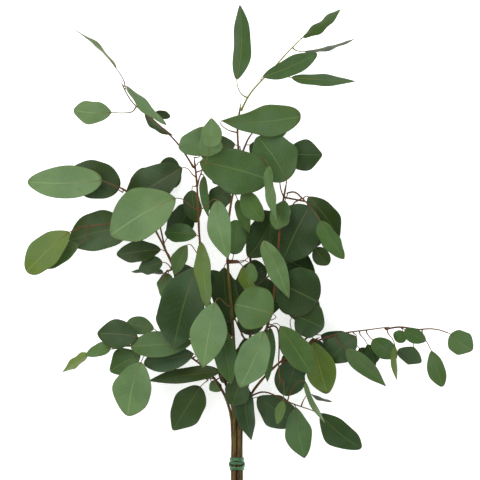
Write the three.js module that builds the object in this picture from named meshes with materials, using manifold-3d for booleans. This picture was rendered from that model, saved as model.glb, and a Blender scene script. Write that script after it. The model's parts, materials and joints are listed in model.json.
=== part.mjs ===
// A tied bunch of eucalyptus foliage, lying down on a flat surface.
// Millimetres, +Z up. The stems run along +Y from their cut ends, the tie is near the cut ends,
// and the side that a person looks at faces +Z. The origin is under the middle of the bunch.

import * as THREE from 'three';
import { mergeVertices } from 'three/addons/utils/BufferGeometryUtils.js';
import Module from 'manifold-3d';

// ---------------------------------------------------------------- driving dimensions

const BUNCH_LENGTH = 640; // cut ends to the tip of the tallest leaf
const BUNCH_WIDTH = 560; // outer leaf on the left to outer leaf on the right
const STEM_RADIUS = 2.5; // a main stem, from its cut end to above the tie
const STEM_TIP_RADIUS = 1.1; // a main stem where it ends among the leaves
const TWIG_RADIUS = 1.15; // a side twig at its foot
const TWIG_TIP_RADIUS = 0.7;
const PETIOLE_RADIUS = 0.7; // a leaf's stalk
const BLADE_THICKNESS = 0.8; // a leaf at its midrib; it thins to a sharp edge
const BLADE_SCALE = 1; // all leaf blades against the sizes in the tables
const CLEARANCE = 0.35; // between separate pieces that touch
const TIE_START = 58; // the tie, from the cut ends
const TIE_LENGTH = 17;
const TIE_TURN_WIDTH = 6;
const TIE_THICKNESS = 1.1;

// The tables below were laid out on a bunch of this size.
const TABLE_LENGTH = 640;
const TABLE_WIDTH = 560;
const scaleX = BUNCH_WIDTH / TABLE_WIDTH;
const scaleY = BUNCH_LENGTH / TABLE_LENGTH;

const SIDES_OF_STEM = 6;
const SIDES_OF_TWIG = 5;
const SIDES_OF_TIE = 24;
const RING_SPACING = 32; // along a stem
const TWIG_RING_SPACING = 10;

// ---------------------------------------------------------------- the tables

// Inside the tie seven stems are packed as a hexagon: one in the middle and six around it.
// Above the straight, tied part the bundle rises and opens: distance past the tie, rise over the
// height inside the tie, and spread of the packing.
const BUNDLE_X = -4;
const BUNDLE_OPENING = [
  [40, 5, 1.07],
  [63, 18, 1.16],
];
const STRAIGHT_BEFORE_TIE = 10;
const STRAIGHT_PAST_TIE = [5, 20];

// Each stem: the side of the packing that it takes (degrees, null is the middle), where it was cut,
// and its points above the bundle.
const STEMS = {
  stem_1: {
    packing: 120,
    cut: 3,
    points: [
      [-16, 190, 70],
      [-38, 270, 100],
      [-51, 350, 116],
      [-52, 410, 124],
      [-57, 452, 130],
    ],
  },
  stem_2: {
    packing: null,
    cut: 6,
    points: [
      [-6, 190, 61],
      [-10, 260, 86],
      [-16, 325, 100],
      [-12, 400, 108],
      [2, 450, 114],
      [-7, 487, 120],
      [1, 520, 124],
    ],
  },
  stem_3: {
    packing: 60,
    cut: 0,
    points: [
      [18, 190, 64],
      [38, 255, 90],
      [47, 320, 102],
      [50, 380, 108],
      [58, 422, 112],
    ],
  },
  stem_4: {
    packing: 0,
    cut: 8,
    points: [
      [30, 178, 46],
      [62, 207, 58],
      [100, 228, 66],
    ],
  },
  stem_5: {
    packing: 180,
    cut: 2,
    points: [
      [-28, 172, 42],
      [-58, 204, 54],
      [-95, 218, 60],
    ],
  },
  stem_6: {
    packing: 240,
    cut: 5,
    points: [
      [-30, 200, 48],
      [-58, 262, 68],
      [-86, 322, 82],
      [-104, 360, 88],
      [-122, 392, 92],
      [-134, 408, 94],
    ],
  },
  stem_7: {
    packing: 300,
    cut: 4,
    points: [
      [8, 190, 36],
      [16, 262, 46],
      [12, 340, 52],
      [2, 420, 56],
      [0, 468, 58],
    ],
  },
};

// A leaf: blade base x y z, blade tip x y z, width, roll in degrees, outline.
// Single leaves also have a name, the stem that they grow from and a tone.
// Rows are in the order in which the leaves are laid: from the surface up to the viewer.
const LEAVES = [
  ['leaf_low_1', 'stem_5', -25, 185, 44, -112, 177, 36, 24, 30, 'lance', 'dark'],
  ['leaf_low_2', 'stem_5', -58, 207, 48, -118, 196, 44, 32, 10, 'broad', 'dark'],
  ['leaf_low_3', 'stem_7', 22, 152, 36, 68, 118, 30, 42, 10, 'broad', 'dark'],
  ['leaf_low_4', 'stem_4', 70, 196, 50, 56, 155, 46, 40, 5, 'oval', 'dark'],
  ['leaf_low_5', 'stem_4', 92, 222, 66, 108, 160, 60, 38, 8, 'broad', 'olive'],
  ['leaf_low_6', 'stem_3', 8, 165, 62, 12, 101, 46, 28, 20, 'lance', 'dark'],
  ['leaf_low_7', 'stem_1', 0, 176, 74, -10, 143, 62, 32, 5, 'oval', 'dark'],
  ['leaf_low_8', 'stem_5', -60, 222, 74, -135, 218, 72, 34, 12, 'broad', 'mid'],
  ['leaf_left_1', 'stem_1', -72, 440, 110, -139, 402, 104, 48, 10, 'broad', 'dark'],
  ['leaf_left_2', 'stem_1', -54, 356, 98, -92, 360, 94, 26, 20, 'broad', 'mid'],
  ['leaf_left_3', 'stem_1', -66, 344, 96, -82, 308, 92, 20, 10, 'diamond', 'mid'],
  ['leaf_left_4', 'stem_1', -80, 402, 128, -156, 360, 122, 64, 8, 'broad', 'light'],
  ['leaf_heart_1', 'stem_4', 70, 255, 84, 103, 240, 80, 44, 10, 'oval', 'dark'],
  ['leaf_heart_2', 'stem_3', 61, 458, 98, 99, 456, 94, 40, 6, 'oval', 'dark'],
  ['leaf_heart_3', 'stem_1', -53, 317, 98, -82, 222, 92, 60, 6, 'broad', 'dark'],
  ['leaf_heart_4', 'stem_3', 48, 297, 94, 97, 272, 90, 64, 8, 'oval', 'dark'],
  ['leaf_heart_5', 'stem_3', 38, 240, 92, 33, 176, 88, 18, 15, 'lance', 'mid'],
  ['leaf_heart_6', 'stem_3', 58, 424, 110, 24, 477, 108, 56, 8, 'oval', 'mid'],
  ['leaf_heart_7', 'stem_3', 41, 258, 114, -5, 270, 110, 56, 6, 'oval', 'mid'],
  ['leaf_heart_8', 'stem_3', 50, 243, 112, 85, 187, 108, 36, 15, 'broad', 'mid'],
  ['leaf_heart_9', 'stem_3', 29, 349, 116, 58, 281, 114, 26, 12, 'lance', 'light'],
  ['leaf_heart_10', 'stem_2', -20, 236, 110, -13, 172, 100, 30, 15, 'lance', 'mid'],
  ['leaf_heart_11', 'stem_1', -50, 447, 134, 33, 425, 128, 56, 6, 'broad', 'mid'],
  ['leaf_heart_12', 'stem_2', 36, 442, 132, 40, 376, 134, 30, 62, 'lance', 'light'],
  ['leaf_heart_13', 'stem_1', -48, 347, 130, -45, 267, 132, 26, 40, 'lance', 'olive'],
  ['leaf_heart_14', 'stem_3', 30, 237, 128, 2, 173, 124, 42, 8, 'broad', 'light'],
  ['leaf_heart_15', 'stem_1', -28, 399, 140, -17, 329, 142, 30, 15, 'lance', 'light'],
  ['leaf_heart_16', 'stem_2', -31, 273, 134, -46, 197, 134, 46, 8, 'diamond', 'light'],
  ['leaf_top_1', 'stem_2', -24, 498, 128, 71, 500, 120, 42, 25, 'fan', 'mid'],
  ['leaf_top_2', 'stem_1', -50, 454, 140, -46, 485, 172, 54, 4, 'oval', 'light'],
  ['leaf_top_3', 'stem_1', -38, 464, 146, -35, 496, 152, 27, 12, 'oval', 'light'],
];

// A sprig: a twig that leaves a stem or another sprig's twig, and the leaves that grow from it.
const SPRIGS = [
  {
    name: 'sprig_back_1',
    from: 'stem_7',
    tone: 'dark',
    twig: [
      [15, 276, 46],
      [36, 304, 40],
      [56, 338, 36],
      [68, 372, 34],
    ],
    leaves: [
      [70, 378, 20, 96, 338, 0, 44, 6, 'broad'],
      [56, 334, 16, 84, 284, 0, 44, 4, 'broad'],
      [34, 312, 30, -2, 300, 24, 34, 20, 'oval'],
      [48, 330, 52, 90, 308, 56, 44, 12, 'oval'],
      [34, 302, 56, 30, 254, 54, 38, 8, 'broad'],
      [54, 346, 54, 26, 384, 54, 40, 10, 'oval'],
    ],
  },
  {
    name: 'sprig_back_2',
    from: 'stem_6',
    tone: 'dark',
    twig: [
      [-88, 326, 82],
      [-97, 352, 66],
      [-104, 388, 52],
      [-106, 424, 46],
    ],
    leaves: [
      [-106, 396, 20, -148, 370, 0, 46, 5, 'broad'],
      [-104, 430, 20, -74, 440, 0, 40, 8, 'oval'],
      [-92, 352, 40, -62, 392, 30, 34, 15, 'broad'],
      [-108, 420, 52, -136, 424, 56, 38, 14, 'oval'],
    ],
  },
  {
    name: 'sprig_back_3',
    from: 'stem_7',
    tone: 'dark',
    twig: [
      [0, 468, 58],
      [14, 484, 54],
      [30, 496, 50],
      [40, 500, 48],
    ],
    leaves: [
      [32, 492, 24, 62, 500, 0, 32, 6, 'oval'],
      [12, 470, 24, 50, 452, 0, 42, 5, 'broad'],
      [-6, 470, 34, -52, 466, 12, 36, 14, 'broad'],
      [-2, 452, 28, -34, 424, 6, 36, 8, 'oval'],
    ],
  },
  {
    name: 'sprig_back_4',
    from: 'stem_5',
    tone: 'dark',
    twig: [
      [-64, 207, 54],
      [-74, 220, 40],
      [-80, 244, 32],
      [-78, 270, 28],
    ],
    leaves: [
      [-80, 264, 16, -94, 232, 0, 40, 5, 'oval'],
      [-74, 286, 20, -62, 318, 0, 38, 10, 'broad'],
      [-78, 212, 24, -116, 200, 0, 34, 8, 'broad'],
      [-62, 232, 26, -30, 232, 12, 36, 14, 'oval'],
    ],
  },
  {
    name: 'sprig_back_5',
    from: 'stem_4',
    tone: 'dark',
    twig: [
      [66, 210, 58],
      [78, 222, 44],
      [94, 236, 36],
      [98, 252, 32],
    ],
    leaves: [
      [92, 226, 18, 104, 182, 0, 38, 6, 'broad'],
      [92, 248, 22, 68, 282, 0, 42, 8, 'oval'],
      [102, 230, 34, 142, 214, 18, 30, 14, 'broad'],
      [76, 216, 30, 60, 172, 12, 36, 10, 'oval'],
    ],
  },
  {
    name: 'sprig_back_6',
    from: 'stem_7',
    tone: 'dark',
    twig: [
      [11, 214, 39],
      [4, 228, 30],
      [-6, 250, 24],
      [-12, 272, 22],
    ],
    leaves: [
      [-12, 250, 14, -42, 222, 0, 38, 5, 'oval'],
      [6, 226, 14, 20, 178, 0, 38, 5, 'broad'],
      [-8, 284, 18, 22, 296, 4, 36, 12, 'oval'],
      [-4, 212, 22, -22, 172, 6, 32, 8, 'broad'],
      [-14, 266, 38, -34, 308, 40, 38, 8, 'oval'],
      [2, 234, 40, 26, 262, 42, 34, 10, 'oval'],
    ],
  },
  {
    name: 'sprig_low_left',
    from: 'stem_5',
    tone: 'mid',
    twig: [
      [-95, 218, 60],
      [-112, 222, 62],
      [-130, 223, 62],
      [-146, 220, 61],
      [-160, 216, 60],
    ],
    leaves: [
      [-108, 238, 52, -142, 246, 46, 24, 12, 'broad'],
      [-125, 206, 52, -161, 187, 46, 34, 10, 'broad'],
      [-190, 207, 60, -222, 188, 56, 24, 58, 'lance'],
      [-162, 215, 66, -193, 207, 66, 22, 38, 'lance'],
      [-128, 228, 70, -175, 233, 66, 38, 8, 'broad'],
      [-124, 197, 70, -141, 133, 64, 50, 8, 'broad'],
    ],
  },
  {
    name: 'sprig_low_edge',
    from: 'stem_5',
    tone: 'dark',
    twig: [
      [-30, 176, 43],
      [-38, 178, 39],
      [-43, 174, 36],
    ],
    leaves: [
      [-50, 165, 32, -83, 114, 18, 42, 8, 'oval'],
      [-36, 172, 36, -25, 160, 34, 16, 15, 'oval'],
    ],
  },
  {
    name: 'sprig_low_right',
    from: 'stem_7',
    tone: 'mid',
    twig: [
      [6, 168, 33],
      [30, 160, 44],
      [52, 150, 50],
      [72, 142, 54],
      [94, 135, 56],
    ],
    leaves: [
      [90, 156, 58, 114, 145, 56, 14, 72, 'lance'],
      [101, 132, 54, 148, 89, 44, 36, 18, 'broad'],
      [70, 140, 60, 80, 76, 50, 34, 10, 'diamond'],
      [82, 172, 70, 102, 121, 66, 20, 64, 'lance'],
    ],
  },
  {
    name: 'sprig_right_inner',
    from: 'stem_4',
    tone: 'dark',
    twig: [
      [100, 228, 66],
      [118, 231, 68],
      [138, 235, 70],
      [163, 238, 72],
      [188, 241, 73],
    ],
    leaves: [
      [150, 214, 58, 170, 191, 54, 20, 12, 'lance'],
      [160, 219, 62, 169, 195, 58, 20, 12, 'broad'],
      [146, 229, 64, 113, 200, 58, 38, 8, 'broad'],
      [166, 225, 74, 195, 201, 72, 30, 30, 'lance'],
      [133, 213, 76, 177, 169, 72, 26, 28, 'lance'],
    ],
  },
  {
    name: 'sprig_right_outer',
    from: 'sprig_right_inner',
    tone: 'mid',
    twig: [
      [188, 241, 73],
      [203, 242, 73],
      [220, 238, 72],
      [244, 239, 71],
      [260, 234, 70],
    ],
    leaves: [
      [218, 216, 62, 211, 194, 50, 34, 8, 'diamond'],
      [194, 217, 66, 193, 175, 60, 22, 70, 'lance'],
      [240, 211, 66, 253, 167, 58, 23, 12, 'broad'],
      [264, 232, 68, 290, 212, 62, 32, 8, 'oval'],
      [204, 236, 78, 197, 222, 74, 18, 10, 'oval'],
      [206, 238, 82, 232, 222, 80, 22, 30, 'lance'],
    ],
  },
  {
    name: 'sprig_left_inner',
    from: 'stem_6',
    tone: 'dark',
    twig: [
      [-84, 318, 82],
      [-92, 313, 77],
      [-96, 304, 73],
      [-96, 295, 70],
    ],
    leaves: [
      [-90, 308, 58, -98, 280, 52, 22, 10, 'oval'],
      [-96, 308, 66, -135, 313, 60, 24, 68, 'lance'],
      [-97, 322, 74, -127, 314, 68, 22, 12, 'lance'],
      [-99, 338, 74, -151, 333, 70, 28, 10, 'broad'],
    ],
  },
  {
    name: 'sprig_left_upper',
    from: 'stem_6',
    tone: 'light',
    twig: [
      [-134, 408, 94],
      [-142, 412, 96],
      [-150, 415, 98],
    ],
    leaves: [
      [-150, 416, 84, -212, 436, 78, 48, 8, 'oval'],
      [-172, 424, 106, -262, 424, 100, 42, 12, 'oval'],
    ],
  },
  {
    name: 'sprig_left',
    from: 'stem_6',
    tone: 'mid',
    twig: [
      [-108, 367, 88],
      [-130, 372, 84],
      [-164, 370, 82],
      [-204, 366, 82],
    ],
    leaves: [
      [-140, 364, 70, -213, 350, 62, 50, 6, 'oval'],
      [-202, 344, 66, -249, 318, 58, 30, 10, 'broad'],
      [-213, 360, 84, -268, 312, 76, 42, 16, 'broad'],
    ],
  },
  {
    name: 'sprig_shoulder',
    from: 'stem_3',
    tone: 'dark',
    twig: [
      [58, 422, 112],
      [66, 412, 112],
      [76, 403, 110],
      [83, 396, 108],
    ],
    leaves: [
      [94, 340, 84, 110, 319, 80, 22, 8, 'oval'],
      [87, 392, 92, 54, 326, 84, 64, 6, 'oval'],
      [85, 404, 104, 120, 356, 96, 36, 10, 'broad'],
      [56, 399, 116, 45, 366, 118, 28, 15, 'broad'],
      [100, 374, 118, 126, 325, 114, 34, 48, 'lance'],
    ],
  },
  {
    name: 'sprig_heart',
    from: 'stem_2',
    tone: 'mid',
    twig: [
      [-15, 322, 100],
      [-6, 324, 106],
      [2, 323, 110],
    ],
    leaves: [
      [4, 316, 110, 15, 277, 112, 24, 46, 'lance'],
      [12, 321, 116, 18, 299, 116, 13, 10, 'oval'],
      [-20, 316, 86, -12, 250, 78, 34, 8, 'broad'],
      [-8, 332, 84, -4, 374, 80, 30, 10, 'oval'],
      [10, 328, 80, 42, 380, 74, 44, 8, 'broad'],
    ],
  },
  {
    name: 'sprig_crown',
    from: 'stem_2',
    tone: 'mid',
    twig: [
      [-12, 404, 108],
      [-6, 412, 104],
      [2, 420, 102],
      [8, 426, 101],
    ],
    leaves: [
      [-16, 416, 92, -36, 388, 88, 30, 12, 'oval'],
      [-3, 400, 100, 9, 361, 98, 18, 25, 'lance'],
      [5, 414, 110, 26, 375, 108, 28, 15, 'broad'],
    ],
  },
  {
    name: 'sprig_collar',
    from: 'stem_1',
    tone: 'dark',
    twig: [
      [-53, 416, 124],
      [-52, 424, 116],
      [-49, 432, 110],
      [-47, 438, 106],
    ],
    leaves: [
      [-60, 412, 90, -56, 374, 84, 24, 20, 'oval'],
      [-45, 430, 100, -42, 382, 98, 13, 30, 'lance'],
    ],
  },
  {
    name: 'sprig_hanging',
    from: 'stem_3',
    tone: 'olive',
    twig: [
      [38, 256, 90],
      [46, 244, 100],
      [49, 222, 104],
      [48, 196, 100],
      [50, 168, 92],
    ],
    leaves: [[54, 149, 82, 46, 120, 76, 13, 15, 'lance']],
  },
  {
    name: 'sprig_top_left',
    from: 'stem_1',
    tone: 'mid',
    twig: [
      [-57, 452, 130],
      [-75, 467, 134],
      [-92, 485, 137],
      [-108, 499, 139],
      [-120, 510, 140],
      [-131, 517, 141],
      [-140, 530, 142],
      [-147, 545, 143],
    ],
    leaves: [
      [-106, 507, 132, -87, 503, 130, 11, 8, 'oval'],
      [-118, 507, 128, -86, 478, 124, 18, 58, 'lance'],
      [-159, 508, 141, -204, 511, 138, 30, 10, 'broad'],
      [-153, 562, 146, -198, 612, 150, 26, 82, 'lance'],
      [-140, 540, 150, -96, 490, 152, 24, 62, 'lance'],
    ],
  },
  {
    name: 'sprig_top',
    from: 'stem_2',
    tone: 'mid',
    twig: [
      [1, 520, 124],
      [14, 534, 127],
      [27, 548, 130],
      [45, 567, 133],
      [62, 586, 135],
      [76, 600, 136],
    ],
    leaves: [
      [64, 552, 122, 138, 543, 116, 22, 48, 'lance'],
      [80, 584, 130, 141, 594, 126, 28, 82, 'lance'],
      [78, 601, 138, 125, 631, 142, 22, 58, 'lance'],
      [28, 552, 138, 93, 577, 142, 26, 25, 'broad'],
      [-4, 549, 134, 5, 638, 142, 32, 44, 'lance'],
    ],
  },
];

const OUTLINES = {
  // powers of the distance from the base and from the tip: where a blade is wide
  broad: [0.72, 0.5],
  oval: [0.5, 0.5],
  diamond: [0.85, 0.75],
  lance: [0.6, 0.7],
  fan: [1.05, 0.42],
};

const ROUGHNESS = { stem: 0.75, leaf: 0.6, tie: 0.5 };
const STEM_COLOUR = 0x4d3a26;
const TIE_COLOUR = 0x4f7a3d;
const TONES = {
  light: 0x7fa36c,
  mid: 0x567c48,
  dark: 0x35522c,
  olive: 0x748b3e,
};

// ---------------------------------------------------------------- solids

const wasm = await Module();
wasm.setup();

// A closed skin over rings of equal count, with a flat start and a flat or pointed end.
function loft(rings, tip = null) {
  const count = rings[0].length;
  const points = rings.flat();
  const triangles = [];
  for (let r = 0; r + 1 < rings.length; r += 1) {
    for (let i = 0; i < count; i += 1) {
      const a = r * count + i;
      const b = r * count + ((i + 1) % count);
      triangles.push([a, b, b + count], [a, b + count, a + count]);
    }
  }
  for (let i = 1; i + 1 < count; i += 1) {
    triangles.push([0, i + 1, i]);
  }
  const last = (rings.length - 1) * count;
  if (tip) {
    points.push(tip);
    for (let i = 0; i < count; i += 1) {
      triangles.push([last + i, last + ((i + 1) % count), points.length - 1]);
    }
  } else {
    for (let i = 1; i + 1 < count; i += 1) {
      triangles.push([last, last + i, last + i + 1]);
    }
  }
  return { points, triangles };
}

function solidOf(skin) {
  const mesh = new wasm.Mesh({
    numProp: 3,
    vertProperties: new Float32Array(skin.points.flatMap((p) => [p.x, p.y, p.z])),
    triVerts: new Uint32Array(skin.triangles.flat()),
  });
  return new wasm.Manifold(mesh);
}

function meshOf(name, solid, foot, colour, roughness) {
  const { vertProperties, triVerts } = solid.getMesh();
  const geometry = new THREE.BufferGeometry();
  geometry.setAttribute('position', new THREE.BufferAttribute(new Float32Array(vertProperties), 3));
  geometry.setIndex(new THREE.BufferAttribute(new Uint32Array(triVerts), 1));
  geometry.translate(-foot.x, -foot.y, -foot.z);
  geometry.computeVertexNormals();
  const material = new THREE.MeshStandardMaterial({ color: colour, roughness, metalness: 0 });
  const mesh = new THREE.Mesh(geometry, material);
  mesh.name = name;
  mesh.position.copy(foot);
  return mesh;
}

const place = ([x, y, z]) => new THREE.Vector3(x * scaleX, y * scaleY, z);

// ---------------------------------------------------------------- what is already laid

const laid = []; // every finished solid, with its box, so that what comes next can keep clear of it

function lay(solid, kind, owner) {
  laid.push({ solid, kind, owner, box: solid.boundingBox() });
}

function boxesMeet(a, b) {
  return [0, 1, 2].every((k) => a.min[k] < b.max[k] && b.min[k] < a.max[k]);
}

function isClear(solid, ignores) {
  const box = solid.boundingBox();
  return laid.every((other) => {
    if (ignores(other) || !boxesMeet(box, other.box)) {
      return true;
    }
    const common = solid.intersect(other.solid);
    const empty = common.isEmpty();
    common.delete();
    return empty;
  });
}

// ---------------------------------------------------------------- stems and twigs

const branches = {}; // the curve and radii of each stem and twig, by its node's name

function branchSolid(curve, startRadius, endRadius, sides, spacing) {
  const steps = Math.max(2, Math.round(curve.getLength() / spacing));
  const frames = curve.computeFrenetFrames(steps, false);
  const rings = [];
  for (let s = 0; s <= steps; s += 1) {
    const centre = curve.getPointAt(s / steps);
    const radius = THREE.MathUtils.lerp(startRadius, endRadius, s / steps);
    const ring = [];
    for (let i = 0; i < sides; i += 1) {
      const angle = (i / sides) * Math.PI * 2;
      ring.push(
        centre
          .clone()
          .addScaledVector(frames.normals[s], radius * Math.cos(angle))
          .addScaledVector(frames.binormals[s], radius * Math.sin(angle)),
      );
    }
    rings.push(ring);
  }
  return solidOf(loft(rings));
}

// The cut ends lie on the surface, and so does the tie, which is wider, so the bundle slopes a little.
const packingPitch = 2 * STEM_RADIUS + CLEARANCE;
const bundleRadius = (packingPitch + STEM_RADIUS + CLEARANCE) / Math.cos(Math.PI / SIDES_OF_TIE);
const cutHeight = packingPitch * Math.sin(Math.PI / 3) + STEM_RADIUS;
const tieHeight = bundleRadius + TIE_THICKNESS;
const tieMiddle = TIE_START + TIE_LENGTH / 2;
const tieEnd = TIE_START + TIE_LENGTH;
const bundleSlope = (tieHeight - cutHeight) / tieMiddle;

function stemPoints({ packing, cut, points }) {
  const straight = [cut, TIE_START - STRAIGHT_BEFORE_TIE, ...STRAIGHT_PAST_TIE.map((y) => tieEnd + y)];
  const line = [
    ...straight.map((y) => [y, cutHeight + bundleSlope * y, 1]),
    ...BUNDLE_OPENING.map(([past, rise, spread]) => [tieEnd + past, tieHeight + rise, spread]),
  ];
  const angle = THREE.MathUtils.degToRad(packing ?? 0);
  const lower = line.map(([y, z, spread]) => {
    const offset = packing === null ? 0 : packingPitch * spread;
    return new THREE.Vector3(BUNDLE_X + offset * Math.cos(angle), y, z + offset * Math.sin(angle));
  });
  return [...lower, ...points.map(place)];
}

const bunch = new THREE.Group();

for (const [name, stem] of Object.entries(STEMS)) {
  const curve = new THREE.CatmullRomCurve3(stemPoints(stem), false, 'centripetal');
  const solid = branchSolid(curve, STEM_RADIUS, STEM_TIP_RADIUS, SIDES_OF_STEM, RING_SPACING);
  branches[name] = { curve, startRadius: STEM_RADIUS, endRadius: STEM_TIP_RADIUS };
  lay(solid, 'branch', name);
  bunch.add(meshOf(name, solid, curve.getPoint(0), STEM_COLOUR, ROUGHNESS.stem));
}

// ---------------------------------------------------------------- leaves

const STATIONS = [0.1, 0.28, 0.48, 0.68, 0.86]; // sections of a blade, from base 0 to tip 1
const FOLD = 0.16; // how far the edges stand above the midrib, against the half width
const DROOP = 0.09; // how far the tip curls down, against the blade's length
const PETIOLE_STEPS = [0, 0.3, 0.65];
const PETIOLE_PULLS = [0.3, 0.35]; // how straight it leaves the branch and meets the blade
const LIFT_STEP = 1.5;
const LIFT_LIMIT = 120;
const STAND_OFF_STEP = 0.25;
// Places on its branch for a leaf's foot. The far ones are tried only when no near one has room.
const NEAR_SLIDES = [0, 7, -7, 14, -14, 22, -22];
const FAR_SLIDES = [30, -30, 40, -40, 52, -52, 66, -66, 82, -82, 100, -100];
const SEARCH_STEP = 3; // along a branch, when its nearest point is looked for
const SET_BACK = 0.5; // how far before that point the foot is, against the distance to the branch
const SET_BACK_LIMIT = 18;
const END_MARGIN = 2; // from a twig's ends to the nearest leaf that is part of it

function halfWidth(outline, width, u) {
  const [a, b] = OUTLINES[outline];
  const widest = a / (a + b);
  const share = (u ** a * (1 - u) ** b) / (widest ** a * (1 - widest) ** b);
  return (width / 2) * share;
}

function readLeaf([bx, by, bz, tx, ty, tz, width, roll, outline]) {
  const base = place([bx, by, bz]);
  const span = new THREE.Vector3(tx - bx, ty - by, tz - bz).multiplyScalar(BLADE_SCALE);
  const heading = Math.atan2(-span.x, span.y);
  const pitch = Math.atan2(span.z, Math.hypot(span.x, span.y));
  const turn = new THREE.Euler(pitch, THREE.MathUtils.degToRad(roll), heading, 'ZXY');
  return {
    base,
    turn: new THREE.Quaternion().setFromEuler(turn),
    length: span.length(),
    width: width * BLADE_SCALE,
    outline,
    onSurface: tz === 0,
  };
}

// The blade's sections: right edge, underside of the midrib, left edge, top of the midrib.
function bladeSections(leaf, lift, extra) {
  const { length, width, outline } = leaf;
  const origin = leaf.base.clone().setZ(leaf.base.z + lift);
  const toWorld = (x, y, z) => new THREE.Vector3(x, y, z).applyQuaternion(leaf.turn).add(origin);
  const stalk = PETIOLE_RADIUS + extra;
  const rings = [
    [toWorld(stalk, 0, 0), toWorld(0, 0, -stalk), toWorld(-stalk, 0, 0), toWorld(0, 0, stalk)],
  ];
  for (const u of STATIONS) {
    const half = halfWidth(outline, width, u) + extra;
    const y = length * u;
    const z = -DROOP * length * u * u;
    const edge = z + FOLD * half;
    const thick = BLADE_THICKNESS / 2 + extra;
    rings.push([
      toWorld(half, y, edge),
      toWorld(0, y, z - thick),
      toWorld(-half, y, edge),
      toWorld(0, y, z + thick),
    ]);
  }
  return { rings, tip: toWorld(0, length + extra, -DROOP * length) };
}

// The stalk: rings from its foot on the branch to the blade's base, carried along without twist.
function stalkRings(leaf, lift, foot, outward, extra) {
  const base = leaf.base.clone().setZ(leaf.base.z + lift);
  const along = new THREE.Vector3(0, 1, 0).applyQuaternion(leaf.turn);
  const reach = base.distanceTo(foot);
  const path = new THREE.CubicBezierCurve3(
    foot,
    foot.clone().addScaledVector(outward, reach * PETIOLE_PULLS[0]),
    base.clone().addScaledVector(along, -reach * PETIOLE_PULLS[1]),
    base,
  );
  const radius = PETIOLE_RADIUS + extra;
  let side = new THREE.Vector3(1, 0, 0).applyQuaternion(leaf.turn);
  let tangent = along.clone();
  const rings = [];
  for (const t of [...PETIOLE_STEPS].reverse()) {
    const next = path.getTangent(t);
    side.applyQuaternion(new THREE.Quaternion().setFromUnitVectors(tangent, next));
    tangent = next;
    const up = side.clone().cross(tangent);
    const centre = path.getPoint(t);
    rings.unshift([
      centre.clone().addScaledVector(side, radius),
      centre.clone().addScaledVector(up, -radius),
      centre.clone().addScaledVector(side, -radius),
      centre.clone().addScaledVector(up, radius),
    ]);
  }
  return rings;
}

// Where a leaf or twig leaves a branch: near the branch's closest point to it, moved by a slide.
// A joined foot is on the branch's middle line. Any other stands off the branch's surface.
function footOn(branch, target, slide, joined, standOff = CLEARANCE) {
  const { curve, startRadius, endRadius } = branch;
  const length = curve.getLength();
  let best = 0;
  let nearest = Infinity;
  const samples = Math.ceil(length / SEARCH_STEP);
  for (let i = 0; i <= samples; i += 1) {
    const distance = curve.getPointAt(i / samples).distanceTo(target);
    if (distance < nearest) {
      nearest = distance;
      best = i / samples;
    }
  }
  const setBack = Math.min(nearest * SET_BACK, SET_BACK_LIMIT);
  const margin = joined ? END_MARGIN / length : 0;
  const at = THREE.MathUtils.clamp(best - (setBack + slide) / length, margin, 1 - margin);
  const centre = curve.getPointAt(at);
  const tangent = curve.getTangentAt(at);
  const outward = target.clone().sub(centre);
  if (at < 1) {
    outward.addScaledVector(tangent, -outward.dot(tangent));
  }
  outward.normalize();
  const radius = THREE.MathUtils.lerp(startRadius, endRadius, at);
  const foot = joined ? centre : centre.clone().addScaledVector(outward, radius + standOff);
  return { foot, outward };
}

// Lays one leaf: it is lifted, and its foot moved, until it is clear of all that is already there.
function growLeaf(row, branchName, owner, joined) {
  const leaf = readLeaf(row);
  const branch = branches[branchName];
  const sameOwner = (other) => joined && other.owner === owner && other.kind !== 'blade';
  const isBranch = (other) => other.owner === branchName && other.kind === 'branch';
  let start = 0;
  if (leaf.onSurface) {
    const { rings, tip } = bladeSections(leaf, 0, 0);
    start = -Math.min(tip.z, ...rings.flat().map((p) => p.z));
  }
  const search = (slides) => {
    for (let lift = start; lift <= start + LIFT_LIMIT; lift += LIFT_STEP) {
      const wide = bladeSections(leaf, lift, CLEARANCE);
      const wideBlade = solidOf(loft(wide.rings, wide.tip));
      const clear = isClear(wideBlade, () => false);
      wideBlade.delete();
      if (!clear) {
        continue;
      }
      const target = leaf.base.clone().setZ(leaf.base.z + lift);
      for (const slide of slides) {
        const { foot, outward } = footOn(branch, target, slide, joined);
        const wideStalk = solidOf(
          loft([...stalkRings(leaf, lift, foot, outward, CLEARANCE), wide.rings[0]]),
        );
        const roomy = isClear(wideStalk, (other) => isBranch(other) || sameOwner(other));
        wideStalk.delete();
        if (!roomy) {
          continue;
        }
        const blade = bladeSections(leaf, lift, 0);
        const stalk = stalkRings(leaf, lift, foot, outward, 0);
        const stalkSolid = solidOf(loft([...stalk, blade.rings[0]]));
        if (joined || isClear(stalkSolid, () => false)) {
          lay(solidOf(loft(blade.rings, blade.tip)), 'blade', owner);
          lay(stalkSolid, 'stalk', owner);
          return { solid: solidOf(loft([...stalk, ...blade.rings], blade.tip)), foot };
        }
      }
    }
    return null;
  };
  const grown = search(NEAR_SLIDES) ?? search(FAR_SLIDES);
  if (!grown) {
    throw new Error(`no room for a leaf of ${owner}`);
  }
  return grown;
}

// ---------------------------------------------------------------- sprigs

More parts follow.
